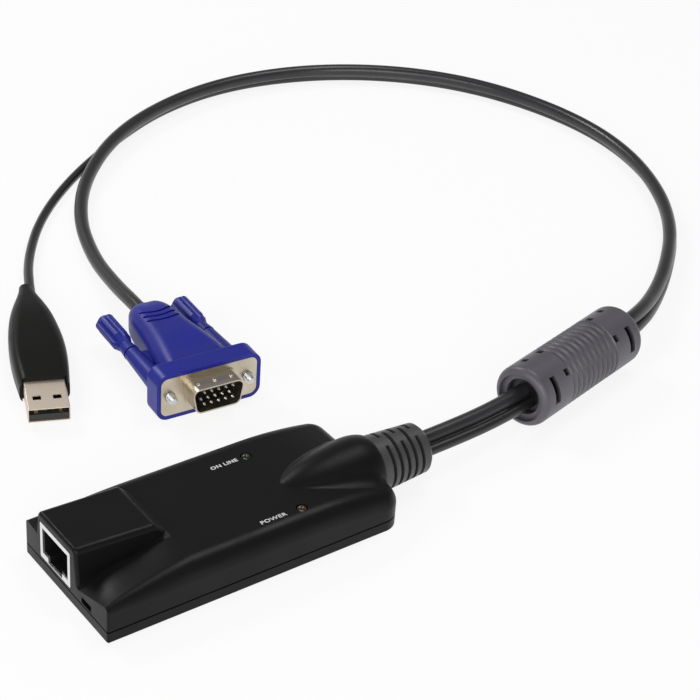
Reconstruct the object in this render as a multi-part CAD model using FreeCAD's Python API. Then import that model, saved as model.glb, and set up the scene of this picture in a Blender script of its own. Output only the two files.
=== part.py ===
import FreeCAD, Part
import math
import os

# KVM dongle: a network-jack case with a video lead and a USB lead on one bonded cord.
# Millimetres. X runs along the case from the jack end to the cord end, Y across it, Z up.
# The origin is on the table, under the middle of the case.

V = FreeCAD.Vector
X, Y, Z = V(1, 0, 0), V(0, 1, 0), V(0, 0, 1)

# ---- driving dimensions -----------------------------------------------------------
# case
CASE_LENGTH = 90.5
CASE_WIDTH = 42.0
PARTING_HEIGHT = 3.2
DECK_HEIGHT = 14.0
SHOULDER_RADIUS = 5.0
CORNER_RADIUS = 5.6
# the deck rolls down towards the cord end
ROLL_LENGTH = 27.0
ROLL_DROP = 3.2
JACK_CORNER_RADIUS = 0.6
REVEAL_HEIGHT = 0.45
REVEAL_DEPTH = 0.4
COVER_WALL = 1.6
TRAY_FLOOR = 1.5
TRAY_WALL = 1.8
FOOT_CHAMFER = 0.35
LIP_HEIGHT = 1.2
LIP_WALL = 0.8
LIP_GAP = 0.15
# raised roof over the jack
HUMP_FRONT_HEIGHT = 17.9
HUMP_REAR_HEIGHT = 17.0
HUMP_LENGTH = 26.0
HUMP_NEAR = 10.3
HUMP_FAR = 9.3
HUMP_SIDE_SLOPE = 1.6
HUMP_FLARE = 0.6
HUMP_REAR_SLOPE = 3.2
HUMP_EDGE_RADIUS = 1.7
HUMP_FRONT_RADIUS = 1.0
HUMP_WALL = 1.1
HUMP_ROOF = 0.8
# scooped deck beside it: share of the hump's length, height at the near edge, at the ledge and at
# the far foot, radius of the shoulders, depth of the channel under the hump's near wall
SCOOP_STATIONS = (
    (0.0, 11.2, 7.1, 10.4, 1.5, 0.3), (0.16, 11.7, 10.2, 11.2, 2.2, 0.9), (0.45, 12.7, 11.8, 12.4, 3.4, 1.2),
    (0.75, 13.6, 13.0, 13.4, 4.4, 0.9), (1.0, 14.0, 14.0, 14.0, 5.0, 0.05))
LEDGE_OFFSET = 2.5
CHANNEL_WIDTH = 0.6
# network jack
JACK_FROM_SIDE = 15.7
JACK_WIDTH = 15.4
JACK_HEIGHT = 11.0
JACK_DEPTH = 15.6
JACK_CLEARANCE = 0.15
SHIELD_THICKNESS = 0.3
PORT_WIDTH = 11.9
PORT_HEIGHT = 6.8
PORT_LEVEL = 2.3
PORT_DEPTH = 12.6
LATCH_WIDTH = 6.2
LATCH_DEPTH = 1.5
CONTACT_COUNT = 8
CONTACT_PITCH = 1.02
CONTACT_WIDTH = 0.4
CONTACT_DROP = 2.1
# circuit board
BOARD_THICKNESS = 1.6
BOARD_UNDERSIDE = 2.8
BOARD_MARGIN = 0.5
BOARD_CORD_GAP = 9.0
# screws that close the case
SCREW_INSET_X = 9.0
SCREW_INSET_Y = 5.2
SCREW_SHANK_RADIUS = 1.1
SCREW_LENGTH = 7.0
SCREW_HEAD_RADIUS = 2.2
SCREW_HEAD_HEIGHT = 1.2
SCREW_RECESS = 0.4
BOSS_RADIUS = 2.6
# indicator lamps
LAMP_FROM_END = 29.75
LAMP_INSETS = {"link_led": 9.8, "power_led": 5.8}
LAMP_RADIUS = 1.5
LAMP_RIM = 0.25
LAMP_GAP = 0.1
LAMP_DEPTH = 2.2
LEG_RADIUS = 0.25
# firmware switch
SWITCH_FROM_SIDE = 10.5
SWITCH_BODY = (3.4, 5.6, 1.1)
SWITCH_SLOT = (4.8, 1.9)
KNOB_WIDTH = 1.4
KNOB_TRAVEL = 1.8
KNOB_GAP = 0.1
# cord outlet and strain relief
CORD_Y = -4.0
CORD_Z = 9.0
# stations along the dome: distance from the cord end, crown radius, hollow radius near and far
DOME_STATIONS = (
    (28.5, 5.05, 1.2, 1.2), (25.2, 6.3, 1.8, 1.6), (21.2, 7.6, 3.0, 2.2), (16.2, 8.7, 4.6, 2.8),
    (11.5, 9.35, 6.6, 3.6), (7.2, 9.75, 7.4, 4.6), (4.2, 9.8, 6.2, 4.8), (1.8, 9.5, 3.8, 3.6),
    (0.0, 8.9, 1.8, 1.8))
DOME_SINK = 0.08
BOOT_LENGTH = 17.3
BOOT_BASE_RADIUS = 8.3
BOOT_END_RADIUS = 7.2
BOOT_NECK_RADIUS = 6.2
BOOT_FLANGE = 1.8
BOOT_CORE_RADIUS = 5.0
LEAD_COUNT = 6
LEAD_RADIUS = 0.45
LEAD_RING_RADIUS = 1.3
LEAD_BORE_RADIUS = 2.4
HEADER_X = 32.0
HEADER_SIZE = (4.0, 14.0, 3.2)
SLIT_COUNT = 5
SLIT_WIDTH = 1.1
SLIT_SWEEP = 156
SLIT_PITCH = 2.55
# cords
VIDEO_CORD_RADIUS = 2.3
USB_CORD_RADIUS = 1.55
# ferrite
FERRITE_SPOT = (102.5, -0.5)
FERRITE_YAW = 13.8
FERRITE_LENGTH = 51.0
FERRITE_RADIUS = 9.4
FERRITE_WALL = 2.0
FERRITE_END_RADIUS = 2.2
WINDOW_FROM_END = 6.0
WINDOW_WIDTH = 2.4
HOLE_FROM_END = 12.6
HOLE_WIDTH = 1.9
FERRITE_CORE_LENGTH = 30.0
FERRITE_BORE_RADIUS = 4.6
RING_COUNT = 9
RING_PITCH = 2.5
RING_DEPTH = 0.6
# video plug
VIDEO_SPOT = (30.2, 52.3)
VIDEO_YAW = 5.0
FLANGE_WIDTH = 30.8
FLANGE_HEIGHT = 12.5
FLANGE_THICKNESS = 0.8
RIM_WALL = 1.3
RIM_DEPTH = 7.0
DSHELL_WIDTH = 16.9
DSHELL_HEIGHT = 8.3
DSHELL_LENGTH = 5.9
DSHELL_THICKNESS = 0.45
DSHELL_SLANT = 10.0
PIN_PITCH = 2.29
PIN_ROW_PITCH = 1.98
PIN_RADIUS = 0.5
SCREW_SPACING = 25.0
JACKSCREW_RADIUS = 1.4
JACKSCREW_REACH = 2.6
SLEEVE_RADIUS = 2.9
SLEEVE_END = 25.0
THUMB_RADIUS = 3.2
FLUTE_COUNT = 6
FLUTE_RADIUS = 1.15
THUMB_LENGTH = 19.0
THUMB_GAP = 0.5
SHAFT_GAP = 0.08
HOOD_LENGTH = 42.0
HOOD_FRONT_WIDTH = 22.0
HOOD_REAR_WIDTH = 13.0
# USB plug
USB_SPOT = (-13.5, 67.3)
USB_YAW = 22.3
USB_SHELL_WIDTH = 12.0
USB_SHELL_HEIGHT = 4.5
USB_SHELL_THICKNESS = 0.3
USB_SHELL_LENGTH = 18.5
USB_SHELL_SHOWN = 14.2
USB_BODY_LENGTH = 57.0
USB_BODY_WIDTH = 16.6
USB_BODY_HEIGHT = 8.4
USB_TONGUE_HEIGHT = 1.9
USB_CONTACTS = (-3.5, -1.0, 1.0, 3.5)

# routes of the two cords: hand-chosen points, joined by straight runs and tangent arcs
VIDEO_ROUTE = [
    V(50, -2.5, 9.6), V(72, -2.45, 9.6), V(95, -0.8, 9.7), V(118, 4.6, 9.6), V(146, 11.6, 9.4),
    V(168, 18.5, 8.0), V(185.4, 28.6, 5.2), V(202.2, 41, 4.85), V(220, 57.5, 4.85), V(234.5, 78.5, 4.85),
    V(245.2, 104.3, 4.85), V(248.5, 131.3, 4.85), V(243, 160.5, 4.85), V(230, 187.3, 4.85),
    V(208.7, 208.7, 4.85), V(181, 223, 4.85), V(149.7, 228.1, 4.85), V(118.7, 223, 4.85),
    V(89.2, 209.3, 4.5), V(65.3, 188.7, 3.0), V(50, 166, 2.35), V(41.3, 141, 2.5),
    V(36.9, 118.6, 5.2), V(34.39, 100.3, 8.0), V(33.07, 85.2, 8.25)]
USB_ROUTE = [
    V(50, -6.2, 8.1), V(72, -6.1, 8.0), V(95, -4.4, 8.0), V(118, 0.9, 7.8), V(146, 8.0, 7.4),
    V(169, 15.3, 5.0), V(186.9, 26.4, 2.0), V(203.8, 39.4, 1.6), V(222, 56.3, 1.6), V(236.5, 77.7, 1.6),
    V(247.2, 103.9, 1.6), V(250.6, 131.5, 1.6), V(244.9, 161.5, 1.6), V(231.5, 188.8, 1.6),
    V(209.8, 210.5, 1.6), V(181.6, 225, 1.6), V(149.7, 230.2, 1.6), V(118.1, 225, 1.6),
    V(88.7, 211.3, 1.6), V(61.5, 193.1, 1.6), V(40, 173, 1.6), V(24.5, 152, 1.9), V(14.5, 132.6, 4.0),
    V(8.2, 117, 4.3)]


# ---- shared helpers ---------------------------------------------------------------
def block(x0, x1, y0, y1, z0, z1):
    return Part.makeBox(x1 - x0, y1 - y0, z1 - z0, V(x0, y0, z0))


def polygon_face(points):
    return Part.Face(Part.makePolygon(points + [points[0]]))


def upright_edges(shape):
    return [e for e in shape.Edges if len(e.Vertexes) == 2
            and abs(e.tangentAt(e.FirstParameter).z) > 0.999
            and abs(e.tangentAt(e.LastParameter).z) > 0.999]


def rounded_block(x0, x1, y0, y1, z0, z1, radius):
    """A block with its upright edges rounded."""
    solid = block(x0, x1, y0, y1, z0, z1)
    return solid.makeFillet(radius, upright_edges(solid))


def revolved(points, centre, axis=X):
    """A solid of revolution: points are (distance along the axis, radius)."""
    across = Z if abs(axis.z) < 0.9 else X
    outline = [centre + axis * a + across * r for a, r in points]
    return polygon_face(outline).revolve(centre, axis, 360)


def joined(shapes):
    return shapes[0].multiFuse(shapes[1:]).removeSplitter()


def group(shapes):
    return Part.makeCompound(shapes)


def export(name, shape):
    shape.exportStep("parts/" + name + ".step")


def placed(shape, at, yaw):
    """Move a piece drawn at the origin, facing -Y, to its place on the table."""
    moved = shape.copy()
    moved.Placement = FreeCAD.Placement(at, FreeCAD.Rotation(Z, -yaw)).multiply(moved.Placement)
    return moved


# ---- derived case levels ----------------------------------------------------------
JACK_END = -CASE_LENGTH / 2
CORD_END = CASE_LENGTH / 2
HALF_WIDTH = CASE_WIDTH / 2
WALL_TOP = DECK_HEIGHT - SHOULDER_RADIUS
ROLL_RADIUS = (ROLL_LENGTH ** 2 + ROLL_DROP ** 2) / (2 * ROLL_DROP)
ROLL_START = CORD_END - ROLL_LENGTH
HUMP_END = JACK_END + HUMP_LENGTH
BOARD_TOP = BOARD_UNDERSIDE + BOARD_THICKNESS
JACK_TOP = BOARD_TOP + JACK_HEIGHT
SCREW_SPOTS = [(sx * (CORD_END - SCREW_INSET_X), sy * (HALF_WIDTH - SCREW_INSET_Y))
               for sx in (-1, 1) for sy in (-1, 1)]
LAMP_BASE = DECK_HEIGHT - COVER_WALL - LAMP_DEPTH
LAMPS = {"link_led": HALF_WIDTH - LAMP_INSETS["link_led"],
         "power_led": LAMP_INSETS["power_led"] - HALF_WIDTH}
LAMP_X = CORD_END - LAMP_FROM_END
JACK_Y = HALF_WIDTH - JACK_FROM_SIDE
SWITCH_Y = SWITCH_FROM_SIDE - HALF_WIDTH
BOARD_HALF = HALF_WIDTH - TRAY_WALL - BOARD_MARGIN - LIP_WALL


# ---- case -------------------------------------------------------------------------
def roll_level(x, inset):
    """Height of the rolled deck, or of the surface that lies so far inside it."""
    return DECK_HEIGHT - ROLL_RADIUS + math.sqrt((ROLL_RADIUS - inset) ** 2 - (x - ROLL_START) ** 2)


def deck_level(from_end):
    """Height of the deck on its middle line, down over the shoulder at the cord end."""
    if from_end > ROLL_LENGTH:
        return DECK_HEIGHT
    share = ROLL_RADIUS / (ROLL_RADIUS - SHOULDER_RADIUS)
    if from_end > ROLL_LENGTH - share * (ROLL_LENGTH - SHOULDER_RADIUS):
        return roll_level(CORD_END - from_end, 0)
    shoulder_centre = roll_level(CORD_END - SHOULDER_RADIUS, SHOULDER_RADIUS)
    return shoulder_centre + math.sqrt(SHOULDER_RADIUS ** 2 - (SHOULDER_RADIUS - from_end) ** 2)


def deck_block(inset, bottom):
    """The stretch behind the jack: level, then rolled down, with rounded corners and shoulders."""
    top, end = DECK_HEIGHT - inset, CORD_END - inset
    half_way = (ROLL_START + end) / 2
    start_low, start_high = V(HUMP_END, 0, bottom), V(HUMP_END, 0, top)
    roll_high, roll_low = V(ROLL_START, 0, top), V(end, 0, roll_level(end, inset))
    end_low = V(end, 0, bottom)
    edges = [
        Part.LineSegment(start_low, start_high), Part.LineSegment(start_high, roll_high),
        Part.Arc(roll_high, V(half_way, 0, roll_level(half_way, inset)), roll_low),
        Part.LineSegment(roll_low, end_low), Part.LineSegment(end_low, start_low)]
    profile = Part.Face(Part.Wire([e.toShape() for e in edges]))
    profile.translate(V(0, inset - HALF_WIDTH, 0))
    solid = profile.extrude(V(0, CASE_WIDTH - 2 * inset, 0))
    corners = [e for e in upright_edges(solid) if e.BoundBox.XMin > 0]
    solid = solid.makeFillet(CORNER_RADIUS - inset, corners)
    rim = [e for e in solid.Edges if e.BoundBox.ZMin > bottom + 1 and e.BoundBox.XMax > HUMP_END + 0.01
           and not (e.BoundBox.XMax < ROLL_START + 0.01 and e.BoundBox.YLength > 1)]
    return solid.makeFillet(SHOULDER_RADIUS - inset, rim)


def shoulder(corner, toward, radius):
    """The arc between the upright wall and the deck that runs from its corner towards a point."""
    down, inward = V(0, 0, -1), toward - corner
    inward.normalize()
    angle = down.getAngle(inward)
    run = radius / math.tan(angle / 2)
    bisector = down + inward
    bisector.normalize()
    middle = corner + bisector * (radius / math.sin(angle / 2) - radius)
    return corner + down * run, middle, corner + inward * run


def scoop_section(x, levels, radius, channel, flare, inset, bottom):
    """A section of the cover beside the jack: the deck dips to a ledge and a channel at the roof's foot."""
    half = HALF_WIDTH - inset
    edge, ledge_level, far_level = [level - inset for level in levels]
    ledge = V(0, JACK_Y - HUMP_NEAR - flare - LEDGE_OFFSET, ledge_level)
    trough = ledge + V(0, CHANNEL_WIDTH, -channel)
    far_foot = V(0, JACK_Y + HUMP_FAR, far_level)
    near = shoulder(V(0, -half, edge), ledge, radius)
    far = shoulder(V(0, half, edge), far_foot, radius)
    base_near, base_far = V(0, -half, bottom), V(0, half, bottom)
    edges = [
        Part.LineSegment(base_near, near[0]), Part.Arc(*near), Part.LineSegment(near[2], ledge),
        Part.LineSegment(ledge, trough), Part.LineSegment(trough, far_foot),
        Part.LineSegment(far_foot, far[2]), Part.Arc(far[2], far[1], far[0]),
        Part.LineSegment(far[0], base_far), Part.LineSegment(base_far, base_near)]
    wire = Part.Wire([e.toShape() for e in edges])
    wire.translate(V(x, 0, 0))
    return wire


def scoop_block(inset, bottom):
    """The stretch beside the jack: the deck sinks towards the jack's end in a long hollow."""
    sections = []
    for share, edge, ledge, far, radius, channel in SCOOP_STATIONS:
        start = inset * (1 - share)
        wanted = max(radius - inset, 0.5)
        sections.append(scoop_section(JACK_END + start + share * HUMP_LENGTH, (edge, ledge, far), wanted,
                                      channel, share * HUMP_FLARE, inset, bottom))
    return Part.makeLoft(sections, True, False)


def hump_section(x, inset, flare, bottom, top):
    """A section of the jack's roof: sloping sides, and a near side that flares by so much."""
    r = HUMP_EDGE_RADIUS - 0.7 * inset
    slope = HUMP_SIDE_SLOPE * (top - bottom) / (HUMP_FRONT_HEIGHT - PARTING_HEIGHT)
    cut = r * (1 - math.sqrt(0.5))
    corners, feet = [], []
    for side, reach in ((-1, HUMP_NEAR + flare), (1, HUMP_FAR)):
        edge = JACK_Y + side * (reach - inset)
        corners.append((V(x, edge, top - r), V(x, edge - side * cut, top - cut),
                        V(x, edge - side * r, top)))
        feet.append(V(x, edge + side * slope, bottom))
    near, far = corners
    base_near, base_far = feet
    edges = [
        Part.LineSegment(base_near, near[0]), Part.Arc(*near), Part.LineSegment(near[2], far[2]),
        Part.Arc(far[2], far[1], far[0]), Part.LineSegment(far[0], base_far),
        Part.LineSegment(base_far, base_near)]
    return Part.Wire([e.toShape() for e in edges])


def hump(inset, roof, bottom):
    """The roof over the jack: a gentle fall, then a short steep one to the deck at its rear."""
    front = hump_section(JACK_END + inset, inset, 0, bottom, HUMP_FRONT_HEIGHT - roof)
    x_ridge = HUMP_END - HUMP_REAR_SLOPE
    ridge = hump_section(x_ridge - inset, inset, HUMP_FLARE, bottom, HUMP_REAR_HEIGHT - roof)
    foot = hump_section(HUMP_END + 0.4 - inset, inset, HUMP_FLARE, bottom, DECK_HEIGHT - roof - 0.2)
    roof_block = Part.makeLoft([front, ridge, foot], True, True)
    if inset:
        return roof_block
    brow = [e for e in roof_block.Edges
            if e.BoundBox.XMax < JACK_END + 0.01 and e.BoundBox.ZMax > bottom + 1]
    roof_block = roof_block.makeFillet(HUMP_FRONT_RADIUS, brow)
    crest = [e for e in roof_block.Edges if abs(e.BoundBox.XMin - x_ridge) < 0.01
             and abs(e.BoundBox.XMax - x_ridge) < 0.01 and e.BoundBox.ZMin > DECK_HEIGHT]
    return roof_block.makeFillet(HUMP_EDGE_RADIUS, crest)


def dome_section(from_end, radius, near_blend, far_blend, bottom):
    """A section of the dome: its crown, and on each side a hollow that runs out on the deck."""
    x = CORD_END - from_end
    deck = deck_level(from_end) - DOME_SINK - CORD_Z
    halves = []
    for side, blend in ((-1, near_blend), (1, far_blend)):
        reach = math.sqrt((radius + blend) ** 2 - (deck + blend) ** 2)
        centre = V(x, CORD_Y + side * reach, CORD_Z + deck + blend)
        to_crown = V(0, -side * reach, -deck - blend)
        to_crown.normalize()
        half_way = to_crown + V(0, 0, -1)
        half_way.normalize()
        halves.append((centre - Z * blend, centre + half_way * blend, centre + to_crown * blend))
    near, far = halves
    low_near, low_far = V(x, near[0].y, bottom), V(x, far[0].y, bottom)
    edges = [
        Part.LineSegment(low_near, near[0]), Part.Arc(*near),
        Part.Arc(near[2], V(x, CORD_Y, CORD_Z + radius), far[2]), Part.Arc(far[2], far[1], far[0]),
        Part.LineSegment(far[0], low_far), Part.LineSegment(low_far, low_near)]
    return Part.Wire([e.toShape() for e in edges])


def dome(bottom):
    """The swelling over the cord outlet, with the hollows at its foot."""
    return Part.makeLoft([dome_section(*station, bottom) for station in DOME_STATIONS], True, False)


def dome_hollow(inset):
    """The room under the dome, turned about the cord's axis."""
    points = [(CORD_END - DOME_STATIONS[0][0], 0)]
    points += [(CORD_END - back, radius - inset) for back, radius, _, _ in DOME_STATIONS[:-1]]
    last = CORD_END - inset
    points += [(last, DOME_STATIONS[-2][1] - inset), (last, 0)]
    return revolved(points, V(0, CORD_Y, CORD_Z))


def cover_body(inset, hump_inset, roof, bottom):
    body = joined([scoop_block(inset, bottom), deck_block(inset, bottom)])
    body = body.fuse(dome_hollow(inset) if inset else dome(bottom))
    body = body.fuse(hump(hump_inset, roof, bottom)).removeSplitter()
    return body.common(block(-CASE_LENGTH, CASE_LENGTH, -CASE_WIDTH, CASE_WIDTH, bottom, 3 * DECK_HEIGHT))


def boot_profile(gap):
    """The grooved root of the strain relief that the two case halves grip."""
    wall_in = CORD_END - COVER_WALL
    return revolved([(wall_in - BOOT_FLANGE - gap, 0),
                     (wall_in - BOOT_FLANGE - gap, BOOT_BASE_RADIUS - 0.6 + gap),
                     (wall_in + gap, BOOT_BASE_RADIUS - 0.6 + gap), (wall_in + gap, BOOT_NECK_RADIUS + gap),
                     (CORD_END + 1, BOOT_NECK_RADIUS + gap), (CORD_END + 1, 0)], V(0, CORD_Y, CORD_Z))


def plan_block(inset, z0, z1):
    """The case's outline between two levels: small corners at the jack end, round ones at the other."""
    end = block(0, CORD_END - inset, -HALF_WIDTH + inset, HALF_WIDTH - inset, z0, z1)
    round_corners = [e for e in upright_edges(end) if e.BoundBox.XMin > 1]
    end = end.makeFillet(CORNER_RADIUS - inset, round_corners)
    start = block(JACK_END + inset, 1, -HALF_WIDTH + inset, HALF_WIDTH - inset, z0, z1)
    tight_corners = [e for e in upright_edges(start) if e.BoundBox.XMax < 0]
    return joined([end, start.makeFillet(JACK_CORNER_RADIUS, tight_corners)])


def top_cover():
    cover = cover_body(0, 0, 0, PARTING_HEIGHT)
    cover = cover.common(plan_block(0, 0, 3 * DECK_HEIGHT))
    reveal = PARTING_HEIGHT + REVEAL_HEIGHT
    cover = cover.cut(plan_block(-1, 0, reveal).cut(plan_block(REVEAL_DEPTH, 0, reveal)))
    cover = cover.cut(cover_body(COVER_WALL, HUMP_WALL, HUMP_ROOF, PARTING_HEIGHT - 1))
    limit = cover_body(COVER_WALL / 2, HUMP_WALL / 2, HUMP_ROOF / 2, PARTING_HEIGHT)
    bosses = [Part.makeCylinder(BOSS_RADIUS, DECK_HEIGHT, V(x, y, PARTING_HEIGHT)).common(limit)
              for x, y in SCREW_SPOTS]
    cover = joined([cover] + bosses)
    for x, y in SCREW_SPOTS:
        cover = cover.cut(Part.makeCylinder(SCREW_SHANK_RADIUS, SCREW_LENGTH + SCREW_RECESS + 0.3,
                                            V(x, y, 0)))
    cover = cover.cut(jack_opening())
    cover = cover.cut(switch_slot())
    cover = cover.cut(boot_profile(0.05))
    for y in LAMPS.values():
        cover = cover.cut(Part.makeCylinder(LAMP_RADIUS + LAMP_GAP, DECK_HEIGHT, V(LAMP_X, y, WALL_TOP)))
    return cover


def bottom_cover():
    """The shallow tray: floor, side walls, lip, board posts and the holes for the closing screws."""
    tray = plan_block(0, 0, PARTING_HEIGHT)
    foot = [e for e in tray.Edges if e.BoundBox.ZMax < 0.01]
    tray = tray.makeChamfer(FOOT_CHAMFER, foot)
    w = TRAY_WALL
    hollow = rounded_block(JACK_END + w, CORD_END - w, -HALF_WIDTH + w, HALF_WIDTH - w,
                           TRAY_FLOOR, PARTING_HEIGHT + 1, CORNER_RADIUS - w)
    tray = tray.cut(hollow)
    outer, inner = COVER_WALL + LIP_GAP, COVER_WALL + LIP_GAP + LIP_WALL
    lips = []
    for side in (-1, 1):
        y0, y1 = sorted((side * (HALF_WIDTH - outer), side * (HALF_WIDTH - inner)))
        lips.append(block(JACK_END + 14, CORD_END - 14, y0, y1, TRAY_FLOOR, PARTING_HEIGHT + LIP_HEIGHT))
    posts = [Part.makeCylinder(BOSS_RADIUS, PARTING_HEIGHT - TRAY_FLOOR, V(x, y, TRAY_FLOOR))
             for x, y in SCREW_SPOTS]
    ribs = [block(x - 0.6, x + 0.6, -9, 9, TRAY_FLOOR, BOARD_UNDERSIDE) for x in (-26, 0, 24)]
    tray = joined([tray] + lips + posts + ribs)
    for x, y in SCREW_SPOTS:
        tray = tray.cut(Part.makeCylinder(SCREW_SHANK_RADIUS + 0.2, PARTING_HEIGHT, V(x, y, 0)))
        tray = tray.cut(Part.makeCylinder(SCREW_HEAD_RADIUS + 0.2, SCREW_RECESS + SCREW_HEAD_HEIGHT,
                                          V(x, y, 0)))
    tray = tray.cut(boot_profile(0.05))
    return tray


def cover_screws():
    screws = []
    for x, y in SCREW_SPOTS:
        base = SCREW_RECESS
        head = Part.makeCylinder(SCREW_HEAD_RADIUS, SCREW_HEAD_HEIGHT, V(x, y, base))
        shank = Part.makeCylinder(SCREW_SHANK_RADIUS, SCREW_LENGTH, V(x, y, base))
        cross = joined([block(x - 1.3, x + 1.3, y - 0.25, y + 0.25, base - 1, base + 0.7),
                        block(x - 0.25, x + 0.25, y - 1.3, y + 1.3, base - 1, base + 0.7)])
        screws.append(head.fuse(shank).removeSplitter().cut(cross))
    return group(screws)


# ---- network jack -----------------------------------------------------------------
JACK_SIDES = (JACK_Y - JACK_WIDTH / 2, JACK_Y + JACK_WIDTH / 2)
PORT_FLOOR = BOARD_TOP + PORT_LEVEL
PORT_ROOF = PORT_FLOOR + PORT_HEIGHT


def port_space(start, end, margin=0.0):
    """The room that the network plug goes into, with the step for its latch below."""
    half, latch = PORT_WIDTH / 2 + margin, LATCH_WIDTH / 2 + margin
    room = block(start, end, JACK_Y - half, JACK_Y + half, PORT_FLOOR - margin, PORT_ROOF + margin)
    step = block(start, end, JACK_Y - latch, JACK_Y + latch, PORT_FLOOR - LATCH_DEPTH - margin, PORT_FLOOR)
    return room.fuse(step).removeSplitter()


def jack_opening():
    c = JACK_CLEARANCE
    return block(JACK_END - 1, JACK_END + COVER_WALL + 2, JACK_SIDES[0] - c, JACK_SIDES[1] + c,
                 BOARD_TOP - c, JACK_TOP + c)


def jack_shield():
    """Folded sheet round the jack, open at the back, its front turned in round the port."""
    t = SHIELD_THICKNESS
    tube = rounded_block_x(JACK_END, JACK_END + JACK_DEPTH, JACK_SIDES, (BOARD_TOP, JACK_TOP), 0.5)
    hollow = block(JACK_END + t, JACK_END + JACK_DEPTH + 1, JACK_SIDES[0] + t, JACK_SIDES[1] - t,
                   BOARD_TOP + t, JACK_TOP - t)
    shield = tube.cut(hollow)
    shield = shield.cut(port_space(JACK_END - 1, JACK_END + 1, 0.5))
    for side in (0, 1):
        wall = JACK_SIDES[side] - 0.5
        tab = block(JACK_END + 5, JACK_END + 10, wall, wall + 1, BOARD_TOP + 4, BOARD_TOP + 4.3)
        shield = shield.cut(tab)
        shield = shield.cut(tab.translated(V(0, 0, 3)))
    return shield


def rounded_block_x(x0, x1, ys, zs, radius):
    """A block with its long edges, those along X, rounded."""
    solid = block(x0, x1, ys[0], ys[1], zs[0], zs[1])
    edges = [e for e in solid.Edges if abs(e.tangentAt(e.FirstParameter).x) > 0.999]
    return solid.makeFillet(radius, edges)


def jack_housing():
    t = SHIELD_THICKNESS
    start, end = JACK_END + t, JACK_END + JACK_DEPTH - 0.2
    body = block(start, end, JACK_SIDES[0] + t, JACK_SIDES[1] - t, BOARD_TOP + t, JACK_TOP - t)
    body = body.cut(port_space(start - 1, JACK_END + PORT_DEPTH))
    comb = block(JACK_END + 2.2, JACK_END + PORT_DEPTH, *contact_span(), PORT_ROOF - 0.1, PORT_ROOF + 0.7)
    return body.cut(comb)


def contact_span():
    half = (CONTACT_COUNT - 1) * CONTACT_PITCH / 2 + CONTACT_WIDTH
    return JACK_Y - half, JACK_Y + half


def jack_contacts():
    """Sprung wires: each lies in the roof's comb at the front and slants down to the back wall."""
    wires = []
    front, back = JACK_END + 2.6, JACK_END + PORT_DEPTH
    top, low = PORT_ROOF + 0.25, PORT_ROOF - CONTACT_DROP
    t = CONTACT_WIDTH
    for i in range(CONTACT_COUNT):
        y = JACK_Y + (i - (CONTACT_COUNT - 1) / 2) * CONTACT_PITCH - CONTACT_WIDTH / 2
        side = [V(front, y, top), V(front + 1.6, y, top), V(back, y, low + t), V(back, y, low),
                V(front + 1.5, y, top - t), V(front, y, top - t)]
        wires.append(polygon_face(side).extrude(V(0, CONTACT_WIDTH, 0)))
    return group(wires)


# ---- firmware switch --------------------------------------------------------------
SWITCH_Z = (BOARD_TOP, BOARD_TOP + SWITCH_BODY[2])
SLOT_MIDDLE = sum(SWITCH_Z) / 2 + 0.05


def switch_slot():
    half = SWITCH_SLOT[0] / 2
    return rounded_block_x(JACK_END - 1, JACK_END + COVER_WALL + 1, (SWITCH_Y - half, SWITCH_Y + half),
                           (SLOT_MIDDLE - SWITCH_SLOT[1] / 2, SLOT_MIDDLE + SWITCH_SLOT[1] / 2), 0.3)


def switch_front():
    return JACK_END + COVER_WALL + 0.15


def switch_body():
    depth, width, _ = SWITCH_BODY
    front = switch_front()
    body = block(front, front + depth, SWITCH_Y - width / 2, SWITCH_Y + width / 2, *SWITCH_Z)
    half = (KNOB_WIDTH + KNOB_TRAVEL) / 2 + KNOB_GAP
    way = block(front - 1, front + depth / 2, SWITCH_Y - half, SWITCH_Y + half,
                SWITCH_Z[0] + 0.2, SWITCH_Z[1] - 0.2)
    return body.cut(way)


def switch_knob():
    front = switch_front()
    start = SWITCH_Y - (KNOB_WIDTH + KNOB_TRAVEL) / 2
    back = front + SWITCH_BODY[0] / 2 - KNOB_GAP
    return rounded_block_x(front - 0.9, back, (start, start + KNOB_WIDTH),
                           (SWITCH_Z[0] + 0.2 + KNOB_GAP, SWITCH_Z[1] - 0.2 - KNOB_GAP), 0.12)


# ---- circuit board and what stands on it ------------------------------------------
def circuit_board():
    x0, x1 = JACK_END + TRAY_WALL + BOARD_MARGIN, CORD_END - BOARD_CORD_GAP
    half = BOARD_HALF
    board = block(x0, x1, -half, half, BOARD_UNDERSIDE, BOARD_TOP)
    for x, y in SCREW_SPOTS:
        notch = Part.makeCylinder(BOSS_RADIUS + BOARD_MARGIN, 9, V(x, y, 0))
        sy = math.copysign(1, y)
        corner = block(min(x, 2 * x), max(x, 2 * x), min(y, 2 * sy * half), max(y, 2 * sy * half), 0, 9)
        board = board.cut(notch.fuse(corner))
    return board.cut(group(lamp_legs(LEG_RADIUS + 0.05)))


def on_board(x, y, length, width, height, radius=0.0):
    part = block(x - length / 2, x + length / 2, y - width / 2, y + width / 2, BOARD_TOP, BOARD_TOP + height)
    return part.makeFillet(radius, upright_edges(part)) if radius else part


def capacitors():
    cans = []
    for x, y, r, h in ((-16, -12, 2.5, 5.4), (-9, -12.5, 2.5, 5.4), (24, 9, 2.0, 5.4)):
        foot = block(x - r, x + r, y - r, y + r, BOARD_TOP, BOARD_TOP + 0.6)
        can = Part.makeCylinder(r - 0.1, h, V(x, y, BOARD_TOP))
        cans.append(can.fuse(foot).removeSplitter())
    return group(cans)


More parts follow.
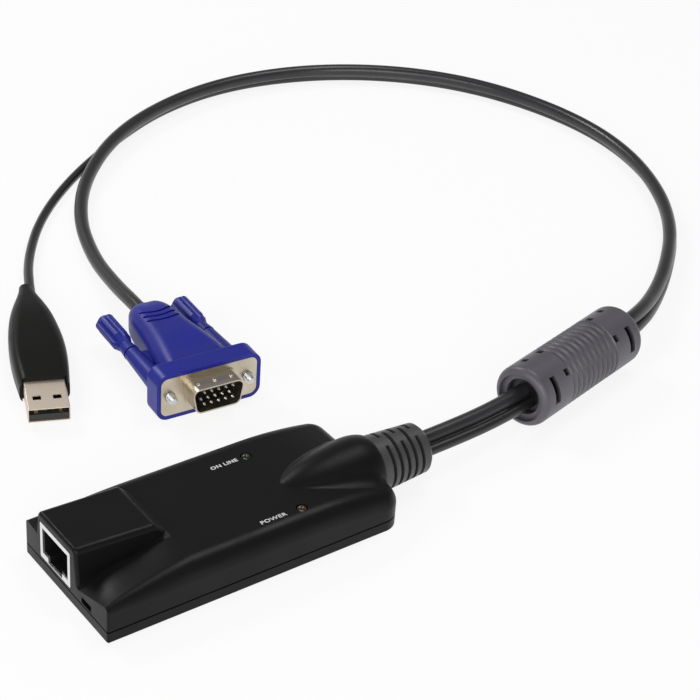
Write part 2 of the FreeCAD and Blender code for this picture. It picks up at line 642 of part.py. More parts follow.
def small_parts():
    """Resistors and ceramic capacitors in short rows."""
    edge = BOARD_HALF - 4
    rows = ((-22, edge, 5, 2.0, 0), (2, edge, 4, 2.0, 0), (-2, -edge, 4, 0, 1.9), (27, -3, 3, 0, 2.2))
    return group([on_board(x + i * dx, y + i * dy - (2 if dy else 0),
                           1.0 if dx else 2.0, 2.0 if dx else 1.0, 0.6)
                  for x, y, count, dx, dy in rows for i in range(count)])


def lamp(y):
    """A 3 mm lamp: rim, barrel and dome, its dome standing a little out of the deck."""
    top = DECK_HEIGHT - LAMP_RADIUS + 0.5
    barrel = Part.makeCylinder(LAMP_RADIUS, top - LAMP_BASE, V(LAMP_X, y, LAMP_BASE))
    rim = Part.makeCylinder(LAMP_RADIUS + LAMP_RIM, 0.8, V(LAMP_X, y, LAMP_BASE))
    dome_part = Part.makeSphere(LAMP_RADIUS, V(LAMP_X, y, top), Z, 0, 90, 360)
    return barrel.fuse([rim, dome_part]).removeSplitter()


def lamp_legs(radius):
    return [Part.makeCylinder(radius, LAMP_BASE - BOARD_UNDERSIDE, V(LAMP_X + dx, y, BOARD_UNDERSIDE))
            for y in LAMPS.values() for dx in (-0.65, 0.65)]


# ---- cord outlet ------------------------------------------------------------------
def slit_ring(x, start, sweep):
    """A cutter for one stretch of a slot round the strain relief."""
    outer = Part.makeCylinder(BOOT_BASE_RADIUS + 2, SLIT_WIDTH, V(0, 0, 0), X, sweep)
    inner = Part.makeCylinder(BOOT_CORE_RADIUS, SLIT_WIDTH, V(0, 0, 0), X, 360)
    ring = outer.cut(inner)
    ring.rotate(V(0, 0, 0), X, start)
    ring.translate(V(x, CORD_Y, CORD_Z))
    return ring


def strain_relief():
    """Soft boot: a cone with broken slots round it, a grooved root held by the case, a bore for leads."""
    end = CORD_END + BOOT_LENGTH
    taper = (BOOT_BASE_RADIUS - BOOT_END_RADIUS) / BOOT_LENGTH
    cone = revolved([(CORD_END, 0), (CORD_END, BOOT_BASE_RADIUS - 0.4), (CORD_END + 0.4, BOOT_BASE_RADIUS),
                     (end - 0.8, BOOT_END_RADIUS + 0.8 * taper), (end, BOOT_END_RADIUS - 0.7), (end, 0)],
                    V(0, CORD_Y, CORD_Z))
    root = boot_profile(0).common(block(0, CORD_END, -CASE_WIDTH, CASE_WIDTH, -9, 3 * DECK_HEIGHT))
    boot = joined([cone, root])
    first = CORD_END + 3.0
    for i in range(SLIT_COUNT):
        turn = 60 if i % 2 else 100
        for half_turn in (0, 180):
            boot = boot.cut(slit_ring(first + i * SLIT_PITCH, turn + half_turn - SLIT_SWEEP / 2, SLIT_SWEEP))
    bore = VIDEO_ROUTE[0].x - CORD_END + 9
    return boot.cut(Part.makeCylinder(LEAD_BORE_RADIUS, bore, V(CORD_END - 9, CORD_Y, CORD_Z), X))


def signal_leads():
    """Six insulated leads from the header, gathered into a ring that goes through the boot's root."""
    level = BOARD_TOP + HEADER_SIZE[2] - 1.2
    start = HEADER_X + HEADER_SIZE[0] / 2
    leads = []
    for i in range(LEAD_COUNT):
        turn = math.pi * (1 + (2 * i + 1) / LEAD_COUNT)
        y = CORD_Y + (i - (LEAD_COUNT - 1) / 2) * 2.0
        ring_y = CORD_Y + LEAD_RING_RADIUS * math.cos(turn)
        ring_z = CORD_Z + LEAD_RING_RADIUS * math.sin(turn)
        points = [V(start, y, level), V(start + 2, y, level), V(CORD_END - 5.6, ring_y, ring_z),
                  V(VIDEO_ROUTE[0].x - 0.1, ring_y, ring_z)]
        leads.append(tube_along(points, LEAD_RADIUS)[0])
    return group(leads)


# ---- cords ------------------------------------------------------------------------
def cord_path(points):
    """Straight runs joined by tangent arcs, as large as their runs allow."""
    edges, radii, last = [], [], points[0]
    for before, corner, after in zip(points, points[1:], points[2:]):
        back, ahead = before - corner, after - corner
        trim = 0.45 * min(back.Length, ahead.Length)
        turn = math.pi - back.getAngle(ahead)
        radii.append(trim / math.tan(turn / 2))
        back.normalize()
        ahead.normalize()
        start, end = corner + back * trim, corner + ahead * trim
        bisector = back + ahead
        bisector.normalize()
        middle = corner + bisector * radii[-1] * (1 / math.cos(turn / 2) - 1)
        edges += [Part.LineSegment(last, start).toShape(), Part.Arc(start, middle, end).toShape()]
        last = end
    edges.append(Part.LineSegment(last, points[-1]).toShape())
    return Part.Wire(edges), radii


def tube_along(points, radius):
    path, radii = cord_path(points)
    section = Part.Wire([Part.makeCircle(radius, points[0], points[1] - points[0])])
    return path.makePipeShell([section], True, False), path.Length, radii


def cord(name, points, radius):
    tube, length, radii = tube_along(points, radius)
    expected = math.pi * radius ** 2 * length
    print(name, "length", round(length, 1), "arcs", [round(r) for r in radii],
          "volume share", round(tube.Volume / expected, 4))
    return tube


# ---- ferrite ----------------------------------------------------------------------
def in_ferrite(shape):
    moved = shape.copy()
    spot = V(FERRITE_SPOT[0], FERRITE_SPOT[1], FERRITE_RADIUS)
    moved.Placement = FreeCAD.Placement(spot, FreeCAD.Rotation(Z, FERRITE_YAW)).multiply(moved.Placement)
    return moved


def ribbed_outline():
    """The sleeve's outline: rounded ends, plain zones, and a row of round ribs in the middle."""
    length, radius, r = FERRITE_LENGTH, FERRITE_RADIUS, FERRITE_END_RADIUS
    cut = r * (1 - math.sqrt(0.5))
    first = length / 2 - RING_COUNT / 2 * RING_PITCH
    last = length - first
    low = radius - RING_DEPTH
    edges = [Part.LineSegment(V(0, 0, 0), V(0, 0, radius - r)),
             Part.Arc(V(0, 0, radius - r), V(cut, 0, radius - cut), V(r, 0, radius)),
             Part.LineSegment(V(r, 0, radius), V(first - 0.5, 0, radius)),
             Part.LineSegment(V(first - 0.5, 0, radius), V(first, 0, low))]
    for i in range(RING_COUNT):
        x = first + i * RING_PITCH
        edges.append(Part.Arc(V(x, 0, low), V(x + RING_PITCH / 2, 0, radius), V(x + RING_PITCH, 0, low)))
    edges += [Part.LineSegment(V(last, 0, low), V(last + 0.5, 0, radius)),
              Part.LineSegment(V(last + 0.5, 0, radius), V(length - r, 0, radius)),
              Part.Arc(V(length - r, 0, radius), V(length - cut, 0, radius - cut), V(length, 0, radius - r)),
              Part.LineSegment(V(length, 0, radius - r), V(length, 0, 0)),
              Part.LineSegment(V(length, 0, 0), V(0, 0, 0))]
    return Part.Wire([e.toShape() for e in edges])


def ferrite_sleeve():
    """Moulded sleeve round the ferrite, with stepped ends and windows near both ends."""
    length, radius = FERRITE_LENGTH, FERRITE_RADIUS
    shaft = Part.Face(ribbed_outline()).revolve(V(0, 0, 0), X, 360)
    core_start = (length - FERRITE_CORE_LENGTH) / 2
    pocket = radius - FERRITE_WALL
    shaft = shaft.cut(Part.makeCylinder(pocket, FERRITE_CORE_LENGTH, V(core_start, 0, 0), X))
    for x, step in ((-1, 0), (length - 1.4, 0), (-1, 1.8), (length - 3.2, 1.8)):
        deep = 2.4 if not step else 4.2
        shaft = shaft.cut(Part.makeCylinder(pocket - step, deep, V(x, 0, 0), X))
    for s in (WINDOW_FROM_END, length - WINDOW_FROM_END):
        for turn in (64, 244):
            shaft = shaft.cut(window(s, turn, WINDOW_WIDTH, 52))
        for turn in (-24, 156):
            shaft = shaft.cut(window(s, turn, HOLE_WIDTH, 13))
    for s in (HOLE_FROM_END, length - HOLE_FROM_END):
        for turn in (46, -20, 226, 160):
            shaft = shaft.cut(window(s, turn, HOLE_WIDTH, 13))
    return in_ferrite(shaft)


def window(s, turn, width, sweep):
    """A slot through the sleeve's skin: s along it, turn from the top towards the near side."""
    depth = FERRITE_WALL + 0.6
    outer = Part.makeCylinder(FERRITE_RADIUS + 1, width, V(0, 0, 0), X, sweep)
    cutter = outer.cut(Part.makeCylinder(FERRITE_RADIUS - depth, width, V(0, 0, 0), X))
    cutter.rotate(V(0, 0, 0), X, turn - sweep / 2)
    cutter.translate(V(s - width / 2, 0, 0))
    return cutter


def ferrite_core():
    start = (FERRITE_LENGTH - FERRITE_CORE_LENGTH) / 2 + 0.1
    tube = Part.makeCylinder(FERRITE_RADIUS - FERRITE_WALL - 0.1, FERRITE_CORE_LENGTH - 0.2,
                             V(start, 0, 0), X)
    bore = Part.makeCylinder(FERRITE_BORE_RADIUS, FERRITE_LENGTH, V(0, 0, 0), X)
    return in_ferrite(tube.cut(bore))


# ---- video plug -------------------------------------------------------------------
# Drawn with its flange at the origin, its mouth towards -Y and its cord towards +Y.
VIDEO_AT = V(VIDEO_SPOT[0], VIDEO_SPOT[1], FLANGE_HEIGHT / 2 + RIM_WALL)
D_TILT = math.tan(math.radians(DSHELL_SLANT))


def rounded_section(y, width, height, radius):
    """A rounded rectangle across the Y axis, drawn about the axis."""
    w, h = width / 2, height / 2
    cut = radius * (1 - math.sqrt(0.5))
    edges = []
    corners = ((1, 1), (-1, 1), (-1, -1), (1, -1))
    arcs = []
    for sx, sz in corners:
        a, b = V(sx * w, y, sz * (h - radius)), V(sx * (w - radius), y, sz * h)
        middle = V(sx * (w - cut), y, sz * (h - cut))
        arcs.append((a, middle, b) if sx * sz > 0 else (b, middle, a))
    for arc, following in zip(arcs, arcs[1:] + arcs[:1]):
        edges += [Part.Arc(*arc), Part.LineSegment(arc[2], following[0])]
    return Part.Wire([e.toShape() for e in edges])


def d_outline(y, inset):
    """The D of a video plug, wide side up."""
    half, h = DSHELL_WIDTH / 2 - inset, DSHELL_HEIGHT / 2 - inset
    low = half - 2 * h * D_TILT
    corners = [V(half, y, h), V(-half, y, h), V(-low, y, -h), V(low, y, -h)]
    face = polygon_face(corners)
    return face, 2.2 - inset


def d_block(y0, y1, inset):
    face, radius = d_outline(y0, inset)
    solid = face.extrude(V(0, y1 - y0, 0))
    edges = [e for e in solid.Edges if abs(e.tangentAt(e.FirstParameter).y) > 0.999]
    return solid.makeFillet(radius, edges)


def video_shell():
    plate = rounded_section(0, FLANGE_WIDTH, FLANGE_HEIGHT, 2.2)
    plate = Part.Face(plate).extrude(V(0, FLANGE_THICKNESS, 0))
    shell = joined([plate, d_block(-DSHELL_LENGTH, FLANGE_THICKNESS, 0), d_block(-0.5, 0.1, -0.6)])
    bumps = []
    for x in (-5.2, 0, 5.2):
        for side in (-1, 1):
            if side < 0 and x == 0:
                continue
            seat = side * (DSHELL_HEIGHT / 2 - 0.35)
            bumps.append(Part.makeSphere(0.75, V(x, -3.2, seat)))
    shell = joined([shell] + bumps)
    shell = shell.cut(d_block(-DSHELL_LENGTH - 1, FLANGE_THICKNESS + 1, DSHELL_THICKNESS))
    for side in (-1, 1):
        hole = Part.makeCylinder(JACKSCREW_RADIUS + 0.2, 9, V(side * SCREW_SPACING / 2, -4, 0), Y)
        shell = shell.cut(hole)
    return shell


def pin_spots():
    """Three rows of five, the middle row shifted by half a pitch."""
    rows = ((1, 0.5), (0, 0.0), (-1, 0.5))
    return [((i - 2) * PIN_PITCH + (0.0 if shift else -PIN_PITCH / 2) + PIN_PITCH / 4, row * PIN_ROW_PITCH)
            for row, shift in rows for i in range(5)]


def video_insulator():
    body = d_block(-1.2, 5.5, DSHELL_THICKNESS)
    for x, z in pin_spots():
        body = body.cut(Part.makeCylinder(PIN_RADIUS, 20, V(x, -9, z), Y))
    return body


def video_pins():
    pins = []
    for x, z in pin_spots():
        shank = Part.makeCylinder(PIN_RADIUS, 10.5, V(x, -4.6, z), Y)
        tip = Part.makeCone(PIN_RADIUS * 0.4, PIN_RADIUS, 0.5, V(x, -5.1, z), Y)
        pins.append(shank.fuse(tip).removeSplitter())
    return group(pins)


def hood_shape(inset):
    """The crowned, tapering body of the hood, from the rim to the cord."""
    front, rear, length = HOOD_FRONT_WIDTH, HOOD_REAR_WIDTH, HOOD_LENGTH
    stations = ((RIM_DEPTH - 1, front, 12.0), (length * 0.3, front - 1.0, 13.6),
                (length * 0.5, front - 3.4, 14.2), (length * 0.75, rear + 2.6, 13.4),
                (length * 0.93, rear + 0.6, 12.0), (length, rear - 1.6, 10.2))
    sections = [rounded_section(y, w - 2 * inset, h - 2 * inset, h * 0.34) for y, w, h in stations]
    return Part.makeLoft(sections, True, False)


def video_hood():
    """Blue moulded hood: a rim round the flange, a crowned body and a sleeve for each screw."""
    rim = rounded_section(0, FLANGE_WIDTH + 2 * RIM_WALL, FLANGE_HEIGHT + 2 * RIM_WALL, 2.2 + RIM_WALL)
    rim = Part.Face(rim).extrude(V(0, RIM_DEPTH, 0))
    rear = [e for e in rim.Edges if e.BoundBox.YMin > RIM_DEPTH - 0.01]
    rim = rim.makeFillet(0.8, rear)
    sleeves, webs = [], []
    for side in (-1, 1):
        x = side * SCREW_SPACING / 2
        sleeves.append(Part.makeCone(SLEEVE_RADIUS + 0.5, SLEEVE_RADIUS - 0.5, SLEEVE_END - RIM_DEPTH + 2,
                                     V(x, RIM_DEPTH - 2, 0), Y))
        webs.append(block(min(0, x), max(0, x), RIM_DEPTH - 1, SLEEVE_END - 2, -1.6, 1.6))
    boss = revolved([(HOOD_LENGTH - 4, 0), (HOOD_LENGTH - 4, 4.2), (HOOD_LENGTH + 2.5, 3.6),
                     (HOOD_LENGTH + 3.2, 3.0), (HOOD_LENGTH + 3.2, 0)], V(0, 0, 0), Y)
    hood = joined([rim, hood_shape(0), boss] + sleeves + webs)
    inner = hood_shape(0.5)
    for r in (8.0, 10.5, 13.0):
        ring = Part.makeCylinder(r + 0.45, 30, V(0, HOOD_LENGTH, -15))
        ring = ring.cut(Part.makeCylinder(r - 0.45, 30, V(0, HOOD_LENGTH, -15)))
        ring = ring.common(block(-5.2, 5.2, 0, HOOD_LENGTH, -15, 15))
        hood = hood.cut(ring.cut(inner))
    plate = rounded_section(-1, FLANGE_WIDTH + 0.1, FLANGE_HEIGHT + 0.1, 2.25)
    hood = hood.cut(Part.Face(plate).extrude(V(0, 1 + FLANGE_THICKNESS, 0)))
    hood = hood.cut(d_block(0, 5.6, DSHELL_THICKNESS - 0.1))
    hood = hood.cut(block(-6.6, 6.6, 0, 14.0, -3.4, 3.4))
    for side in (-1, 1):
        bore = Part.makeCylinder(JACKSCREW_RADIUS + SHAFT_GAP, SLEEVE_END + 3,
                                 V(side * SCREW_SPACING / 2, -1, 0), Y)
        hood = hood.cut(bore)
    return hood


def thumb_head(side):
    """Grip with a slim neck and deep flutes, moulded on the end of the screw."""
    start = SLEEVE_END + THUMB_GAP
    x = side * SCREW_SPACING / 2
    r, end = THUMB_RADIUS, SLEEVE_END + THUMB_GAP + THUMB_LENGTH
    neck, collar = start + 4.0, start + 7.5
    grip = revolved([(start, 0), (start, r - 0.7), (neck, r - 1.1), (collar, r), (end - 0.8, r),
                     (end, r - 0.8), (end, 0)], V(x, 0, 0), Y)
    for i in range(FLUTE_COUNT):
        a = 2 * math.pi * (i + 0.5) / FLUTE_COUNT
        spot = V(x + math.cos(a) * (r + 0.4), neck + 1, math.sin(a) * (r + 0.4))
        grip = grip.cut(Part.makeCylinder(FLUTE_RADIUS, THUMB_LENGTH, spot, Y))
    stop = end - 3
    return grip.cut(Part.makeCylinder(JACKSCREW_RADIUS, stop - start, V(x, start, 0), Y))


def jackscrew(side):
    end = SLEEVE_END + THUMB_GAP + THUMB_LENGTH - 3
    x = side * SCREW_SPACING / 2
    shank = Part.makeCylinder(JACKSCREW_RADIUS, end + JACKSCREW_REACH - 0.4,
                              V(x, 0.4 - JACKSCREW_REACH, 0), Y)
    tip = Part.makeCone(JACKSCREW_RADIUS - 0.4, JACKSCREW_RADIUS, 0.4, V(x, -JACKSCREW_REACH, 0), Y)
    return shank.fuse(tip).removeSplitter()


# ---- USB plug ---------------------------------------------------------------------
USB_AT = V(USB_SPOT[0], USB_SPOT[1], USB_BODY_HEIGHT / 2)


def usb_overmould():
    """Leaf-shaped grip that swells behind the shell and narrows to the cord."""
    front = USB_SHELL_SHOWN - 2.2
    length, w, h = USB_BODY_LENGTH, USB_BODY_WIDTH, USB_BODY_HEIGHT
    stations = ((0, 0.87, 0.84), (0.1, 0.93, 0.95), (0.3, 1.0, 1.0), (0.6, 0.88, 0.97), (0.8, 0.60, 0.80),
                (0.93, 0.34, 0.60), (1.0, 0.25, 0.5))
    sections = []
    for share, wide, high in stations:
        section_height = h * high
        radius = min(section_height, w * wide) * (0.34 if share < 0.5 else 0.46)
        sections.append(rounded_section(front + length * share, w * wide, section_height, radius))
    body = Part.makeLoft(sections, True, False)
    gap = USB_SHELL_WIDTH / 2 + 0.35
    body = body.cut(block(-gap, gap, 0, USB_SHELL_SHOWN, -h, h))
    w, hgt = USB_SHELL_WIDTH / 2, USB_SHELL_HEIGHT / 2
    return body.cut(block(-w, w, 0, USB_SHELL_LENGTH, -hgt, hgt))


def usb_shell():
    w, h, t = USB_SHELL_WIDTH / 2, USB_SHELL_HEIGHT / 2, USB_SHELL_THICKNESS
    outer = Part.Face(rounded_section(0, 2 * w, 2 * h, 0.45)).extrude(V(0, USB_SHELL_LENGTH, 0))
    shell = outer.cut(block(-w + t, w - t, -1, USB_SHELL_LENGTH + 1, -h + t, h - t))
    for x in (-2.9, 2.9):
        shell = shell.cut(block(x - 1.2, x + 1.2, 4.6, 6.8, -h - 1, h + 1))
    return shell


def usb_tongue():
    w, h, t = USB_SHELL_WIDTH / 2, USB_SHELL_HEIGHT / 2, USB_SHELL_THICKNESS
    tongue = block(-w + t, w - t, 0.6, USB_SHELL_LENGTH, -h + t, -h + t + USB_TONGUE_HEIGHT)
    back = block(-w + t, w - t, 11.8, USB_SHELL_LENGTH, -h + t, h - t)
    tongue = joined([tongue, back])
    for x in USB_CONTACTS:
        tongue = tongue.cut(usb_contact(x))
    return tongue


def usb_contact(x):
    top = -USB_SHELL_HEIGHT / 2 + USB_SHELL_THICKNESS + USB_TONGUE_HEIGHT
    inner = abs(x) < 2
    return block(x - 0.5, x + 0.5, 2.4 if inner else 1.4, 11.8, top - 0.25, top + 0.05)


# ---- build ------------------------------------------------------------------------
def video(shape):
    return placed(shape, VIDEO_AT, VIDEO_YAW)


def usb(shape):
    return placed(shape, USB_AT, USB_YAW)


os.makedirs("parts", exist_ok=True)
export("top_cover", top_cover())
export("bottom_cover", bottom_cover())
export("cover_screws", cover_screws())
export("circuit_board", circuit_board())
export("main_chip", on_board(-8, 2, 14, 14, 1.4))
export("memory_chip", on_board(-8, BOARD_HALF - 4.5, 9, 5, 1.1))
export("usb_chip", on_board(22, -9, 6, 6, 1.0))
export("crystal", on_board(5, -6, 4.6, 3.2, 1.3, 0.6))
export("capacitors", capacitors())
export("small_parts", small_parts())
export("cord_header", on_board(HEADER_X, CORD_Y, *HEADER_SIZE))
export("signal_leads", signal_leads())
export("link_led", lamp(LAMPS["link_led"]))
export("power_led", lamp(LAMPS["power_led"]))
export("lamp_legs", group(lamp_legs(LEG_RADIUS)))
export("jack_shield", jack_shield())
export("jack_housing", jack_housing())
export("jack_contacts", jack_contacts())
export("switch_body", switch_body())
export("switch_knob", switch_knob())
video_tube = cord("video_cord", VIDEO_ROUTE, VIDEO_CORD_RADIUS)
usb_tube = cord("usb_cord", USB_ROUTE, USB_CORD_RADIUS)
export("video_cord", video_tube)
export("usb_cord", usb_tube)
export("strain_relief", strain_relief().cut([video_tube, usb_tube]))
export("ferrite_sleeve", ferrite_sleeve().cut([video_tube, usb_tube]))
export("ferrite_core", ferrite_core())
export("video_hood", video(video_hood()).cut(video_tube))
export("video_shell", video(video_shell()))
export("video_insulator", video(video_insulator()))
export("video_pins", video(video_pins()))
for side, name in ((-1, "left"), (1, "right")):
    export(name + "_thumb_grip", video(thumb_head(side)))
    export(name + "_jackscrew", video(jackscrew(side)))
export("usb_overmould", usb(usb_overmould()).cut(usb_tube))
export("usb_shell", usb(usb_shell()))
export("usb_tongue", usb(usb_tongue()))
export("usb_contacts", usb(group([usb_contact(x) for x in USB_CONTACTS])))
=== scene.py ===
import math
import bpy
from mathutils import Matrix, Vector


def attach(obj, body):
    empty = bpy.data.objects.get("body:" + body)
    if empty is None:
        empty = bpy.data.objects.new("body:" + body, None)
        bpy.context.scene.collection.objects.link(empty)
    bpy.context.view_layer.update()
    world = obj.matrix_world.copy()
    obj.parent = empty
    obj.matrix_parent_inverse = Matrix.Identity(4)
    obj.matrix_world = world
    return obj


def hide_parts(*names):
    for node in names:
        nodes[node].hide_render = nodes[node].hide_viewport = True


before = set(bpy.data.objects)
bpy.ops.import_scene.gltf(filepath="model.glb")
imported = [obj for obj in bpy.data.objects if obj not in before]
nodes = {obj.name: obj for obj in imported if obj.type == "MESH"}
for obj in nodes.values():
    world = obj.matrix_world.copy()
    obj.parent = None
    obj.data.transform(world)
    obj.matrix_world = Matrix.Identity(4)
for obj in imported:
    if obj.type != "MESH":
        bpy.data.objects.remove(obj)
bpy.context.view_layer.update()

# ---- Table, light and camera --------------------------------------------------------
# A pale table in a white room with a dim ceiling, so that level black faces stay black.
# A wide soft lamp stands in front, small ones hang overhead and on the left, and a narrow one
# stands behind for the highlights of the rounded tops.


def material(name, base, roughness, metallic=0.0):
    """A new material of that colour, with its node tree."""
    made = bpy.data.materials.new(name)
    made.use_nodes = True
    tree = made.node_tree
    shader = tree.nodes["Principled BSDF"]
    shader.inputs["Base Color"].default_value = (*base, 1)
    shader.inputs["Roughness"].default_value = roughness
    shader.inputs["Metallic"].default_value = metallic
    made.diffuse_color = (*base, 1)
    return made


def wire(tree, source, output, target, entry):
    """Link a node's output to another node's input."""
    tree.links.new(source.outputs[output], target.inputs[entry])


def reckon(tree, operation, first, second):
    """An arithmetic node on two terms, each a number or a node with its output's name."""
    made = tree.nodes.new("ShaderNodeMath")
    made.operation = operation
    for entry, term in enumerate((first, second)):
        if isinstance(term, tuple):
            wire(tree, *term, made, entry)
        else:
            made.inputs[entry].default_value = term
    return made


TABLE_GLOW = 0.86
table_finish = material("table_finish", (0.9, 0.9, 0.9), 0.6)
tree = table_finish.node_tree
glow = tree.nodes.new("ShaderNodeEmission")
glow.inputs["Color"].default_value = (1, 1, 1, 1)
mix = tree.nodes.new("ShaderNodeMixShader")
rays = tree.nodes.new("ShaderNodeLightPath")
seen = reckon(tree, "MAXIMUM", (rays, "Is Camera Ray"), (rays, "Is Glossy Ray"))
share = reckon(tree, "MULTIPLY", (seen, "Value"), TABLE_GLOW)
wire(tree, share, "Value", mix, 0)
wire(tree, tree.nodes["Principled BSDF"], "BSDF", mix, 1)
wire(tree, glow, "Emission", mix, 2)
wire(tree, mix, "Shader", tree.nodes["Material Output"], "Surface")

bpy.ops.object.select_all(action="DESELECT")
bpy.ops.mesh.primitive_plane_add(size=6, location=(0, 0, 0))
table = bpy.context.object
table.name = "table"
table.data.materials.append(table_finish)

world = bpy.data.worlds.new("room")
bpy.context.scene.world = world
world.use_nodes = True
tree = world.node_tree
backdrop = tree.nodes["Background"]
backdrop.inputs["Color"].default_value = (1, 1, 1, 1)
rays = tree.nodes.new("ShaderNodeLightPath")
seen = reckon(tree, "MAXIMUM", (rays, "Is Camera Ray"), (rays, "Is Transmission Ray"))
bearing = tree.nodes.new("ShaderNodeTexCoord")
heights = tree.nodes.new("ShaderNodeSeparateXYZ")
wire(tree, bearing, "Generated", heights, "Vector")
# walls are bright up to a low height and fade into the dim ceiling
WALL_TOP, CEILING_START = 0.05, 0.40
WALL_GLOW, CEILING_GLOW = 0.8, 0.20
ceiling = tree.nodes.new("ShaderNodeMapRange")
ceiling.inputs["From Min"].default_value = WALL_TOP
ceiling.inputs["From Max"].default_value = CEILING_START
ceiling.inputs["To Min"].default_value = WALL_GLOW
ceiling.inputs["To Max"].default_value = CEILING_GLOW
wire(tree, heights, "Z", ceiling, "Value")
level = reckon(tree, "MAXIMUM", (seen, "Value"), (ceiling, "Result"))
wire(tree, level, "Value", backdrop, "Strength")


def lamp(name, place, aim, size, power):
    """A soft rectangular lamp at its place, turned to its aim, with its power in watts."""
    data = bpy.data.lights.new(name, "AREA")
    data.shape = "RECTANGLE"
    data.size, data.size_y = size
    data.energy = power
    held = bpy.data.objects.new(name, data)
    bpy.context.scene.collection.objects.link(held)
    held.location = place
    held.rotation_euler = (Vector(aim) - Vector(place)).to_track_quat("-Z", "Y").to_euler()


lamp("front_lamp", place=(-0.45, -0.85, 0.5), aim=(0.05, 0.05, 0), size=(0.9, 0.6), power=7.0)
lamp("overhead_lamp", place=(0.45, 0.15, 1.0), aim=(0.05, 0.05, 0), size=(0.45, 0.45), power=3.0)
lamp("side_lamp", place=(-0.9, -0.2, 0.6), aim=(0.05, 0.05, 0), size=(0.4, 0.4), power=3.0)
lamp("rear_lamp", place=(-0.12, 0.85, 0.75), aim=(0.02, 0.05, 0), size=(0.3, 0.3), power=3.5)

lens = bpy.data.cameras.new("bench_camera")
lens.lens = 98.2
lens.sensor_width = 36
camera = bpy.data.objects.new("bench_camera", lens)
bpy.context.scene.collection.objects.link(camera)
turn, tilt, roll = math.radians(38.2), math.radians(32.6), math.radians(-4.29)
right = Vector((math.cos(turn), -math.sin(turn), 0))
ahead = Vector((math.sin(turn) * math.cos(tilt), math.cos(turn) * math.cos(tilt), -math.sin(tilt)))
upward = right.cross(ahead)
side = right * math.cos(roll) - upward * math.sin(roll)
head = right * math.sin(roll) + upward * math.cos(roll)
stand, shift_right, shift_up = Vector((-0.2207, -0.3301, 0.3145)), 0.00026, 0.0004
spot = stand + side * shift_right + head * shift_up
camera.matrix_world = Matrix((
    (side.x, head.x, -ahead.x, spot.x), (side.y, head.y, -ahead.y, spot.y),
    (side.z, head.z, -ahead.z, spot.z), (0, 0, 0, 1)))
bpy.context.scene.camera = camera
bpy.context.scene.view_settings.view_transform = "Standard"

# ---- Case ---------------------------------------------------------------------------
# Two ABS mouldings, a deep cover and a shallow tray, in near-black with a satin skin.
# The mould's spark-eroded texture gives them a very fine even grain.


# the place of a colour mix's result among its outputs
MIXED_COLOUR = 2


def blend(tree, share, first, second):
    """A mix of two colours, each a colour or a node with its output's name."""
    made = tree.nodes.new("ShaderNodeMix")
    made.data_type = "RGBA"
    factor, colour_a, colour_b = 0, 6, 7
    wire(tree, *share, made, factor)
    for entry, term in ((colour_a, first), (colour_b, second)):
        if isinstance(term[0], bpy.types.Node):
            wire(tree, *term, made, entry)
        else:
            made.inputs[entry].default_value = term
    return made


def new_group(name, inputs, outputs):
    """A node group with its labelled entries, and its own input and output nodes."""
    group = bpy.data.node_groups.new(name, "ShaderNodeTree")
    for label, kind, value in inputs:
        socket = group.interface.new_socket(label, in_out="INPUT", socket_type=kind)
        socket.default_value = value
    for label, kind in outputs:
        group.interface.new_socket(label, in_out="OUTPUT", socket_type=kind)
    return group, group.nodes.new("NodeGroupInput"), group.nodes.new("NodeGroupOutput")


# fine grain of a moulded skin, with slow drifts of tone and gloss from handling
moulded_skin, given, result = new_group(
    "moulded_skin",
    [("Grain Size", "NodeSocketFloat", 0.0004), ("Tone", "NodeSocketColor", (0.1, 0.1, 0.1, 1)),
     ("Worn Tone", "NodeSocketColor", (0.12, 0.12, 0.12, 1)), ("Low Gloss", "NodeSocketFloat", 0.5),
     ("High Gloss", "NodeSocketFloat", 0.35)],
    [("Color", "NodeSocketColor"), ("Roughness", "NodeSocketFloat"), ("Height", "NodeSocketFloat")])
places = moulded_skin.nodes.new("ShaderNodeTexCoord")
inverse = reckon(moulded_skin, "DIVIDE", 1.0, (given, "Grain Size"))
grain = moulded_skin.nodes.new("ShaderNodeTexNoise")
grain.inputs["Detail"].default_value = 3
wire(moulded_skin, places, "Object", grain, "Vector")
wire(moulded_skin, inverse, "Value", grain, "Scale")
drift = moulded_skin.nodes.new("ShaderNodeTexNoise")
drift.inputs["Scale"].default_value = 70
drift.inputs["Detail"].default_value = 5
wire(moulded_skin, places, "Object", drift, "Vector")
rubbed = moulded_skin.nodes.new("ShaderNodeMapRange")
rubbed.inputs["From Min"].default_value = 0.4
rubbed.inputs["From Max"].default_value = 0.7
wire(moulded_skin, drift, "Fac", rubbed, "Value")
tone = blend(moulded_skin, (rubbed, "Result"), (given, "Tone"), (given, "Worn Tone"))
wire(moulded_skin, tone, MIXED_COLOUR, result, "Color")
gloss = moulded_skin.nodes.new("ShaderNodeMapRange")
wire(moulded_skin, rubbed, "Result", gloss, "Value")
wire(moulded_skin, given, "Low Gloss", gloss, "To Min")
wire(moulded_skin, given, "High Gloss", gloss, "To Max")
wire(moulded_skin, gloss, "Result", result, "Roughness")
wire(moulded_skin, grain, "Fac", result, "Height")


def place_group(made, group, values):
    """A node group placed in a material, with its entries set."""
    holder = made.node_tree.nodes.new("ShaderNodeGroup")
    holder.node_tree = group
    for label, value in values.items():
        holder.inputs[label].default_value = value
    return holder


def raise_surface(made, skin, strength, depth):
    """A bump of that depth in metres, from a skin's height."""
    tree = made.node_tree
    bump = tree.nodes.new("ShaderNodeBump")
    bump.inputs["Strength"].default_value = strength
    bump.inputs["Distance"].default_value = depth
    wire(tree, skin, "Height", bump, "Height")
    wire(tree, bump, "Normal", tree.nodes["Principled BSDF"], "Normal")


